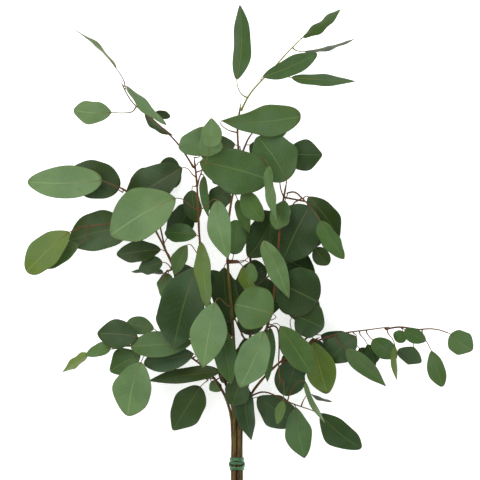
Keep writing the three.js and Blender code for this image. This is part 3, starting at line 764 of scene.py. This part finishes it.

# %% [markdown]
# ## The leaf finish
# Four tones share one recipe. Light, mid and dark are one green painted lit and shaded: the light tone is
# painted light on leaves that face the light, the dark tone painted shade on leaves deep in the bunch, and
# partly they are the leaves' own difference in colour. Olive is a yellower green. The green changes softly
# over each blade, a grey-blue waxy bloom lies on it in patches, veins and margin are paler, and old leaves
# have a few brown spots. The underside is paler and greyer. Each leaf also carries three numbers of its
# own in a colour attribute: how light, how yellow and how worn it is.

# %% The leaf materials
# The light and dark rows are painted light and painted shade on one green, partly the leaves' own tone.
LEAF_TONES = {  # deep green, bright green, underside, veins
    "light": (srgb(80, 108, 62), srgb(108, 137, 86), srgb(104, 124, 88), srgb(136, 156, 100)),
    "mid": (srgb(52, 80, 36), srgb(76, 107, 54), srgb(82, 104, 66), srgb(106, 128, 68)),
    "dark": (srgb(26, 47, 17), srgb(42, 67, 27), srgb(60, 82, 47), srgb(82, 104, 50)),
    "olive": (srgb(72, 96, 30), srgb(100, 122, 45), srgb(98, 112, 58), srgb(132, 146, 74)),
}
MARGIN_COLOUR = srgb(104, 98, 56)
BLOOM_COLOUR = srgb(88, 114, 88)
SPOT_COLOUR = srgb(66, 46, 24)
YELLOWED = srgb(92, 100, 34)
DULL = 0.2  # plant skin mirrors less than most things do


def make_leaf_material(tone, deep, bright, underside, vein_colour):
    material, tree, shader = new_material(f"leaf_{tone}")
    blade = node(tree, "UVMap", uv_map="blade").outputs[0]
    veins = node(tree, "Group", blade, node_tree=vein_group).outputs
    skin = node(tree, "Group", object_places(tree), node_tree=skin_group).outputs
    look = node(tree, "SeparateColor", node(tree, "Attribute", attribute_name="look").outputs["Color"])
    light, warm, wear = look.outputs
    under = node(tree, "Attribute", attribute_name="under").outputs["Fac"]

    def tint(green, mask, strength, colour):
        return mix(tree, maths(tree, "MULTIPLY", mask, strength), green, colour)

    brightness = maths(tree, "MULTIPLY", light, 0.6)
    brightness = maths(tree, "MULTIPLY_ADD", skin["Patches"], 0.45, brightness)
    green = mix(tree, brightness, deep, bright)
    green = tint(green, warm, 0.16, YELLOWED)
    green = mix(tree, skin["Bloom"], green, BLOOM_COLOUR)
    green = tint(green, under, 0.8, underside)
    green = tint(green, veins["Net"], 0.05, vein_colour)
    green = tint(green, veins["Veins"], 0.13, vein_colour)
    green = tint(green, veins["Midrib"], 0.5, vein_colour)
    green = tint(green, veins["Margin"], 0.35, MARGIN_COLOUR)
    green = tint(green, skin["Spots"], wear, SPOT_COLOUR)

    rough = maths(tree, "MULTIPLY_ADD", skin["Grain"], 0.12, 0.36)
    rough = maths(tree, "MULTIPLY_ADD", skin["Bloom"], 0.45, rough)
    rough = maths(tree, "MULTIPLY_ADD", under, 0.15, rough)

    # Veins are sunk in the upper side, and stand out from the underside.
    turned = maths(tree, "MULTIPLY_ADD", under, -2.0, 1.0)
    height = maths(tree, "MULTIPLY", veins["Height"], turned)
    height = maths(tree, "MULTIPLY_ADD", skin["Grain"], 0.12, height)
    finish_with(tree, shader, green, rough, height, 0.28, 0.3 * MM)
    shader.inputs["Specular IOR Level"].default_value = DULL
    return material


leaf_materials = {tone: make_leaf_material(tone, *colours) for tone, colours in LEAF_TONES.items()}
print("leaf materials:", sorted(leaf_materials))

# %% [markdown]
# ## Bark, stalks, cut wood and the band
# The stems' bark is brown with olive and grey stretches and fine ridges along the stem. Twigs and leaf
# stalks share one group of their own, and go from red-brown at the foot to a paler or greener end, which
# is read from the run along the tube. The cut ends show pale, grainy wood. The band is ribbed, with pale
# patches painted on it as highlights.

# %% Materials of the stems and the tie


def make_bark_material():
    material, tree, shader = new_material("stem_bark")
    places = object_places(tree)
    long_places = object_places(tree, (9, 1, 9))
    streaks = fade(tree, noise_at(tree, long_places, 34.0, 5.0, 0.65), 0.35, 0.65)
    olive = fade(tree, noise_at(tree, places, 22.0, 3.0), 0.40, 0.62, 0.0, 0.6)
    grey = fade(tree, noise_at(tree, places, 48.0, 4.0), 0.60, 0.70, 0.0, 0.35)
    run = node(tree, "SeparateXYZ", node(tree, "UVMap", uv_map="run").outputs[0]).outputs[1]
    young = fade(tree, run, 0.45, 0.95, 0.0, 0.7)
    colour = mix(tree, streaks, srgb(30, 17, 8), srgb(108, 80, 44))
    colour = mix(tree, olive, colour, srgb(96, 90, 36))
    colour = mix(tree, grey, colour, srgb(108, 98, 80))
    colour = mix(tree, young, colour, srgb(108, 56, 30))
    fine = noise_at(tree, long_places, 120.0, 4.0, 0.7)
    rough = fade(tree, fine, 0.3, 0.7, 0.5, 0.78)
    finish_with(tree, shader, colour, rough, maths(tree, "ADD", fine, streaks), 0.7, 0.5 * MM)
    shader.inputs["Specular IOR Level"].default_value = DULL
    return material


def make_thin_bark_group():
    group, given = new_group("thin_bark", "Places", "Run")
    places = given["Places"]
    run = node(group, "SeparateXYZ", given["Run"]).outputs[1]
    mottle = noise_at(group, places, 80.0, 4.0)
    results = {
        "Along": fade(group, run, 0.1, 0.8),
        "Mottle": fade(group, mottle, 0.42, 0.68, 0.0, 0.5),
        "Roughness": fade(group, mottle, 0.3, 0.7, 0.42, 0.62),
        "Height": noise_at(group, places, 600.0, 4.0),
    }
    return put_out(group, results)


thin_bark_group = make_thin_bark_group()


def make_thin_bark(name, foot, end, mottled):
    """The smooth skin of a twig or stalk, from its colour at the foot to its colour at the end."""
    material, tree, shader = new_material(name)
    run = node(tree, "UVMap", uv_map="run").outputs[0]
    skin = node(tree, "Group", object_places(tree), run, node_tree=thin_bark_group).outputs
    colour = mix(tree, skin["Along"], foot, end)
    colour = mix(tree, skin["Mottle"], colour, mottled)
    finish_with(tree, shader, colour, skin["Roughness"], skin["Height"], 0.5, 0.25 * MM)
    shader.inputs["Specular IOR Level"].default_value = DULL
    return material


def make_cut_wood_material():
    material, tree, shader = new_material("cut_wood")
    grain = noise_at(tree, object_places(tree), 800.0, 4.0, 0.7)
    colour = mix(tree, fade(tree, grain, 0.35, 0.65), srgb(120, 104, 70), srgb(160, 146, 106))
    rough = fade(tree, grain, 0.3, 0.7, 0.7, 0.9)
    finish_with(tree, shader, colour, rough, grain, 0.5, 0.2 * MM)
    return material


def make_tie_material():
    material, tree, shader = new_material("tie")
    ribs = noise_at(tree, object_places(tree, (1, 14, 1)), 60.0, 3.0)
    # Pale patches painted on the band as highlights.
    painted_highlights = noise_at(tree, object_places(tree), 160.0, 3.0)
    colour = mix(tree, fade(tree, ribs, 0.35, 0.65), srgb(28, 70, 36), srgb(56, 108, 64))
    colour = mix(tree, fade(tree, painted_highlights, 0.58, 0.7, 0.0, 0.4), colour, srgb(104, 136, 96))
    rough = fade(tree, ribs, 0.3, 0.7, 0.3, 0.5)
    finish_with(tree, shader, colour, rough, ribs, 0.5, 0.25 * MM)
    return material


bark = make_bark_material()
# Each thin bark has a colour at the foot, one at the end, and one for its mottles.
stalk_green = make_thin_bark("stalk", srgb(98, 64, 38), srgb(104, 114, 56), srgb(88, 56, 34))
twig_bark = make_thin_bark("twig", srgb(82, 48, 28), srgb(108, 74, 42), srgb(68, 38, 24))
twig_green = make_thin_bark("young_twig", srgb(116, 118, 46), srgb(138, 140, 62), srgb(116, 100, 50))
cut_wood = make_cut_wood_material()
tie_green = make_tie_material()
print("materials:", sorted(material.name for material in bpy.data.materials))

# %% [markdown]
# ## The stems
# Each stem is a long tube. Where leaves once grew, a stem is a little thicker, and its bark is ridged, so
# the radius swells at uneven steps and the surface is pushed in and out by a noise stretched along it.

# %% Lay the stems
JOINT_STEP = 34 * MM
JOINT_SWELLING = 0.09
JOINT_LENGTH = 3 * MM
PINCHED_LENGTH = 9 * MM  # a stem's tip has dried to a thin point
RIDGE_DEPTH = 0.22 * MM
RIDGES = np.array([260, 40, 260])


def knobbly(radii, length, name):
    """Radius along a stem: from the CAD's, with a swelling at each old leaf joint."""
    draw = random.Random(name)
    joints = np.arange(draw.uniform(0.3, 1) * JOINT_STEP, length, JOINT_STEP)
    joints = joints + np.array([draw.uniform(-0.25, 0.25) * JOINT_STEP for _ in joints])
    shares = np.linspace(0, 1, len(radii))

    def radius_at(share):
        near = np.abs(share[:, None] * length - joints[None, :]).min(axis=1)
        swollen = 1 + JOINT_SWELLING * np.exp(-((near / JOINT_LENGTH) ** 2))
        pinched = np.clip((1.0 - share) * length / PINCHED_LENGTH, 0.1, 1) ** 0.5
        return np.interp(share, shares, radii) * swollen * pinched

    return radius_at


def length_of(line):
    return float(np.linalg.norm(np.diff(line, axis=0), axis=1).sum())


def push_ridges(piece):
    """Moves a stem's skin in and out, in ridges that run along it."""
    mesh = piece.data
    places = corners_of(mesh)
    outward = np.array([vertex.normal[:] for vertex in mesh.vertices])
    ridges = np.array([noise.noise(Vector(place)) for place in places * RIDGES])
    move_corners(mesh, places + outward * ridges[:, None] * RIDGE_DEPTH)


lines = {}
stem_shape = corners_of(pattern_stem.data)
for name in stem_names:
    points, radii = branches[name]
    lines[name] = curve_through(points)
    places = carry_along(stem_shape, lines[name], knobbly(radii, length_of(lines[name]), name))
    stem = copy_of(pattern_stem, f"{name}_bark", places)
    push_ridges(stem)
    finish_piece(stem, name, "stem_bark", bark, cut_wood)
print("stems:", len(lines))

# %% [markdown]
# ## The twigs
# A twig is a thinner tube. Its CAD solid stands a hair off the stem that it grows from, so its line is
# led back to the middle of the nearest stem or twig, and it is a little swollen where it joins.

# %% Lay the twigs
TWIG_FOOT_SWELLING = 0.5
SWOLLEN_SHARE = 0.05  # of the twig's length
ROUND_END_SHARE = 0.012


def nearest_on(place, candidates):
    """The nearest point of all the given lines."""
    best = min(candidates, key=lambda line: np.linalg.norm(line - place, axis=1).min())
    return best[np.linalg.norm(best - place, axis=1).argmin()]


def twig_radius(radii):
    """Radius along a twig: an even taper between the CAD's ends, with a swollen foot and a round end."""
    thick, thin = max(radii[0], radii[1]), min(radii[-1], radii[-2])

    def radius_at(share):
        swollen = 1 + TWIG_FOOT_SWELLING * np.exp(-((share / SWOLLEN_SHARE) ** 2))
        round_end = np.sqrt(np.clip((1.0 - share) / ROUND_END_SHARE, 0.04, 1))
        return (thick + (thin - thick) * share) * swollen * round_end

    return radius_at


twig_shape = corners_of(pattern_twig.data)
for name in sprig_names:
    lines[name] = curve_through(branches[name][0])
twigs = {}
for name in sprig_names:
    others = [line for other, line in lines.items() if other != name]
    root = nearest_on(lines[name][0], others)
    line = np.vstack([root, lines[name]])
    places = carry_along(twig_shape, line, twig_radius(branches[name][1]))
    twigs[name] = copy_of(pattern_twig, f"{name}_twig", places)
print("twigs:", len(sprig_names))

# %% [markdown]
# ## The leaves
# First every blade is set out with no play, just as the CAD has it. Then each in turn is given as much
# play as its neighbours leave room for. The dark tone is painted shade on leaves that lie deep in the
# bunch, the light tone painted light on leaves that face the light, partly also their own tone, and olive
# leaves are yellower. A leaf that has its own node in the CAD takes its tone from the record. The tones
# of the sprigs' leaves are listed here.

# %% Lay the leaves
# From the leftmost tip to the rightmost. The sprigs at the back are not listed, and take the record's.
# dark marks painted shade on a leaf deep in the bunch, light marks painted light on one facing the light.
SPRIG_TONES = {
    "sprig_low_left": "olive mid dark mid mid light",
    "sprig_low_edge": "dark light",
    "sprig_low_right": "mid light dark dark",
    "sprig_right_inner": "dark dark dark mid mid",
    "sprig_right_outer": "olive mid dark mid mid mid",
    "sprig_left_inner": "dark dark dark mid",
    "sprig_left_upper": "light dark",
    "sprig_left": "olive mid dark",
    "sprig_shoulder": "mid dark dark dark mid",
    "sprig_heart": "dark mid olive mid dark",
    "sprig_crown": "dark mid mid",
    "sprig_collar": "dark mid",
    "sprig_hanging": "olive",
    "sprig_top_left": "light olive light dark dark",
    "sprig_top": "mid mid mid mid dark",
}
PLAY_STEPS = (1.0, 0.6, 0.3)

disc = corners_of(pattern_blade.data)
disc_faces = [tuple(face.vertices) for face in pattern_blade.data.polygons]


def skin_of(places, faces):
    """A surface that others can be tested against, and the box that it fills."""
    tree = BVHTree.FromPolygons([Vector(place) for place in places], faces)
    return {"tree": tree, "low": places.min(axis=0), "high": places.max(axis=0)}


def touching(skin, others):
    """The names of those skins that this one cuts."""
    return {
        name
        for name, other in others.items()
        if (skin["low"] < other["high"]).all()
        and (other["low"] < skin["high"]).all()
        and skin["tree"].overlap(other["tree"])
    }


all_leaves = []
for node_name, found in leaves.items():
    tone = slot_of[node_name].removeprefix("leaf_")
    tones = SPRIG_TONES.get(node_name, "").split()
    for number, leaf in enumerate(found):
        leaf["node"] = node_name
        leaf["habits"] = habits(leaf["name"])
        leaf["tone"] = tones[number] if tones else tone
        all_leaves.append(leaf)

skins = {leaf["name"]: skin_of(blade_places(leaf, disc, 0), disc_faces) for leaf in all_leaves}
for piece in bpy.data.objects:
    if piece.name.endswith(("_bark", "_twig")):
        faces = [tuple(face.vertices) for face in piece.data.polygons]
        skins[piece.name] = skin_of(corners_of(piece.data), faces)

for leaf in all_leaves:
    others = {name: skin for name, skin in skins.items() if name != leaf["name"]}
    before = touching(skins[leaf["name"]], others)
    leaf["play"] = 0
    for play in PLAY_STEPS:
        skin = skin_of(blade_places(leaf, disc, play), disc_faces)
        if touching(skin, others) <= before:
            leaf["play"] = play
            skins[leaf["name"]] = skin
            break
    if before:
        print("  touching in the CAD's shape:", leaf["name"], sorted(before))
print("leaves:", len(all_leaves), "by play:", Counter(leaf["play"] for leaf in all_leaves))

# %% Make the blades


def write_look(mesh, ways):
    """The leaf's own lightness, warmth and wear, for its material to read."""
    look = mesh.attributes.new("look", "FLOAT_COLOR", "POINT")
    values = np.tile([ways["light"], ways["warm"], ways["wear"], 1.0], len(mesh.vertices))
    look.data.foreach_set("color", values)


for leaf in all_leaves:
    blade = copy_of(pattern_blade, f"{leaf['name']}_blade", blade_places(leaf, disc, leaf["play"]))
    write_look(blade.data, leaf["habits"])
    finish_piece(blade, leaf["node"], f"leaf_{leaf['tone']}", leaf_materials[leaf["tone"]])
print("blades:", Counter(leaf["tone"] for leaf in all_leaves))

# %% [markdown]
# ## Stalks and midribs
# A leaf's stalk does not stop at the blade. It goes on as the midrib, thinner and thinner, and stands out
# from both sides of the blade. So one tube runs from inside the stem, along the stalk, and up the middle
# of the blade nearly to its tip. Twigs and stalks are red-brown at the foot, but for the young ones at
# the top of the bunch, which are still yellow-green.

# %% Lay the stalks
YOUNG_SPRIGS = ("sprig_top",)
RIB_STATIONS = np.array([0.06, 0.16, 0.3, 0.45, 0.6, 0.75, 0.88, 0.95])
STALK_RADIUS = 0.6 * MM
STALK_FOOT_RADIUS = 1.0 * MM
BLADE_START_RADIUS = 0.85 * STALK_RADIUS
RIB_MIDDLE_RADIUS = 0.42 * STALK_RADIUS
RIB_END_RADIUS = 0.14 * MM

stalk_shape = corners_of(pattern_stalk.data)
middle_of_disc = np.zeros((len(RIB_STATIONS), 3))
middle_of_disc[:, 1] = 2 * RIB_STATIONS - 1
stalks = {}  # node: its stalks
for leaf in all_leaves:
    foot = np.array(leaf["stalk"][0])
    own = [lines[leaf["node"]]] if leaf["node"] in lines else list(lines.values())
    root = nearest_on(foot, own)
    rib = blade_places(leaf, middle_of_disc, leaf["play"])
    rows = [root, *[np.array(point) for point in leaf["stalk"]], *rib]
    line = curve_through(rows)
    total = length_of(line)
    to_blade = length_of(line[: (len(rows) - len(rib)) * STEPS_BETWEEN]) / total
    shares = [0, 0.4 * to_blade, to_blade, to_blade + 0.5 * (1 - to_blade), 1]
    radii = [STALK_FOOT_RADIUS, STALK_RADIUS, BLADE_START_RADIUS, RIB_MIDDLE_RADIUS, RIB_END_RADIUS]
    places = carry_along(stalk_shape, line, lambda z: np.interp(z, shares, radii))
    stalk = copy_of(pattern_stalk, f"{leaf['name']}_stalk", places)
    stalk.data.materials.append(twig_green if leaf["node"] in YOUNG_SPRIGS else stalk_green)
    stalks.setdefault(leaf["node"], []).append(stalk)
print("stalks:", sum(len(found) for found in stalks.values()))

# %% [markdown]
# A sprig's leaf stalks are one growth with their twig, so they become one piece with it. The stalk of a
# leaf that grows from a stem stays a piece by itself.

# %% Join stalks and twigs
for name, found in stalks.items():
    if name in twigs:
        twig = twigs[name]
        skin = twig_green if name in YOUNG_SPRIGS else twig_bark
        finish_piece(twig, name, "stem_bark", skin, skin)
        choose(twig)
        for stalk in found:
            stalk.select_set(True)
        bpy.ops.object.join()
    else:
        for stalk in found:
            finish_piece(stalk, name, "stem_bark", stalk_green)
            for face in stalk.data.polygons:
                face.material_index = 0
print("twig pieces:", len(twigs))

# %% [markdown]
# ## The tie
# A soft band is pulled tight round the bundle. It lies on the outer stems and spans the hollows between
# them, so its outline is a hexagon with round corners: in each direction it is as far out as the
# outermost stem reaches. Three turns lie nearly level and two cross over them.

# %% Wind the tie
TIE_TURNS = (  # place and slant as shares of the tie's length, and lift in band thicknesses
    (0.36, 0.02, 0.0),
    (0.10, -0.04, 0.0),
    (-0.36, 0.03, 0.0),
    (0.02, 0.30, 0.5),
    (-0.04, -0.26, 1.0),
)
BAND_WIDTH = 3.6 * MM
BAND_THICKNESS = 1.1 * MM
BAND_SIDES = 72
BAND_GAP = 0.1 * MM
PATTERN_THICKNESS = 0.1
PATTERN_BEVEL = 0.04


def make_pattern_band():
    """One turn of the band: radius 1, its width along Y, with soft edges."""
    bpy.ops.object.select_all(action="DESELECT")
    bpy.ops.mesh.primitive_cylinder_add(
        vertices=BAND_SIDES, radius=1, depth=1, end_fill_type="NOTHING", rotation=(math.pi / 2, 0, 0)
    )
    band = bpy.context.object
    band.name = "pattern_band"
    bpy.ops.object.transform_apply(rotation=True)
    bpy.ops.object.mode_set(mode="EDIT")
    bpy.ops.mesh.select_all(action="SELECT")
    bpy.ops.mesh.subdivide(number_cuts=1)
    bpy.ops.object.mode_set(mode="OBJECT")
    add_modifier(band, "SOLIDIFY", thickness=PATTERN_THICKNESS, offset=1)
    add_modifier(band, "BEVEL", width=PATTERN_BEVEL, segments=2, limit_method="ANGLE")
    for face in band.data.polygons:
        face.use_smooth = True
    return band


def middle_at(line, level):
    """Where a stem's line passes a level of the bunch, as (x, z)."""
    order = np.argsort(line[:, 1])
    return [np.interp(level, line[order, 1], line[order, k]) for k in (0, 2)]


pattern_band = make_pattern_band()
band_shape = corners_of(pattern_band.data)
tie_centre = (tie_low + tie_high) / 2
tie_length = tie_high.y - tie_low.y
stem_middles = np.array([middle_at(lines[name], tie_centre.y) for name in stem_names])
bundle_middle = stem_middles.mean(axis=0)
stem_radius = branches[stem_names[0]][1][0]  # all stems are as thick here
around = stem_middles - bundle_middle


def hull_reach(angle):
    """How far out the stems reach in a direction."""
    outward = np.column_stack([np.cos(angle), np.sin(angle)])
    return (outward @ around.T).max(axis=1) + stem_radius


for number, (place, slant, lift) in enumerate(TIE_TURNS, 1):
    x, y, z = band_shape.T
    angle = np.arctan2(z, x)
    layer = (np.hypot(x, z) - 1) / PATTERN_THICKNESS + lift
    reach = hull_reach(angle) + BAND_GAP + layer * BAND_THICKNESS
    across = bundle_middle[0] + reach * np.cos(angle)
    along = tie_centre.y + (place + slant * np.sin(angle)) * tie_length + y * BAND_WIDTH
    up = bundle_middle[1] + reach * np.sin(angle)
    places = np.column_stack([across, along, up])
    turn = copy_of(pattern_band, f"tie_turn_{number}", places)
    finish_piece(turn, "tie_band", "tie", tie_green)
print("tie turns:", len(TIE_TURNS))

# %% Put the patterns away
for pattern in (pattern_blade, pattern_stem, pattern_twig, pattern_stalk, pattern_band):
    bpy.data.objects.remove(pattern)

# %% [markdown]
# ## Table and light
# The bunch lies on a plain pale table in soft studio light: a bright even sky, one large lamp above and
# to the left, and a weak one from the other side, so that the leaves keep their form. The table top
# glows, like a light table, which keeps it white between and under the leaves.

# %% Table, lamps and sky
TABLE_SIZE = 60  # metres, past the edges of any view
TABLE_GLOW = 0.6
SKY_STRENGTH = 0.62
LAMPS = {  # place, size, power
    "lamp_over_left": ((-1.1, 0.9, 2.2), 2.0, 40),
    "lamp_right": ((1.5, -1.0, 1.6), 1.6, 12),
}
LIT_PLACE = Vector((0, 0, 0.1))

bpy.ops.mesh.primitive_plane_add(size=TABLE_SIZE, location=(0, 0, 0))
table = bpy.context.object
table.name = "table"
table_top, table_tree, table_shader = new_material("table_top")
speck = noise_at(table_tree, object_places(table_tree), 30.0, 3.0)
pale = mix(table_tree, speck, srgb(240, 240, 238), srgb(246, 246, 244))
table_tree.links.new(pale, table_shader.inputs["Base Color"])
table_shader.inputs["Roughness"].default_value = 0.9
table_shader.inputs["Emission Color"].default_value = (1, 1, 1, 1)
table_shader.inputs["Emission Strength"].default_value = TABLE_GLOW
table.data.materials.append(table_top)

for name, (place, size, power) in LAMPS.items():
    bpy.ops.object.light_add(type="AREA", location=place)
    lamp = bpy.context.object
    lamp.name = name
    lamp.data.size = size
    lamp.data.energy = power
    lamp.rotation_euler = (LIT_PLACE - Vector(place)).to_track_quat("-Z", "Y").to_euler()

sky = bpy.data.worlds.new("studio_sky")
sky.use_nodes = True
background = sky.node_tree.nodes["Background"]
background.inputs["Color"].default_value = (0.96, 0.98, 1.0, 1)
background.inputs["Strength"].default_value = SKY_STRENGTH
bpy.context.scene.world = sky
bpy.context.scene.view_settings.view_transform = "Standard"
print("lamps:", list(LAMPS))
